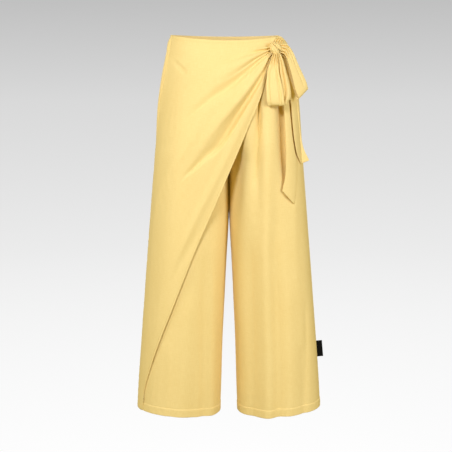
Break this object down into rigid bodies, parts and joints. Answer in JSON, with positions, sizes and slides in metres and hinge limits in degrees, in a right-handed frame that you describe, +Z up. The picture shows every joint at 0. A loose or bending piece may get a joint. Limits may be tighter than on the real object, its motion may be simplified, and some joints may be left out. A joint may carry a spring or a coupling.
{
  "type": "trousers",
  "caption": "Wide-leg woven trousers with a diagonal wrap panel gathered into a side tie bow, filled out as worn and hollow inside.",
  "frame": {"origin": "middle of the waist opening, level with the top of the wearer's right side seam, where the wearer's waist holds the trousers", "axes": "+Z up, -Y towards the front, +X towards the wearer's left"},
  "size_m": [0.4714, 0.2582, 0.9423],
  "materials": {
    "cloth": "matte light yellow plain weave of viscose and linen",
    "label_tape": "plain black woven tape with a slight sheen"
  },
  "bodies": {
    "root": {"waistband_front": "cloth", "waistband_back": "cloth", "front_left": "cloth", "front_right": "cloth", "back_left": "cloth", "back_right": "cloth", "wrap_panel": "cloth", "bow_knot": "cloth", "bow_loop_front": "cloth", "bow_loop_side": "cloth", "tie_tail_long": "cloth", "tie_tail_short": "cloth", "tie_root": "cloth", "label_tab": "label_tape"}
  },
  "joints": []
}
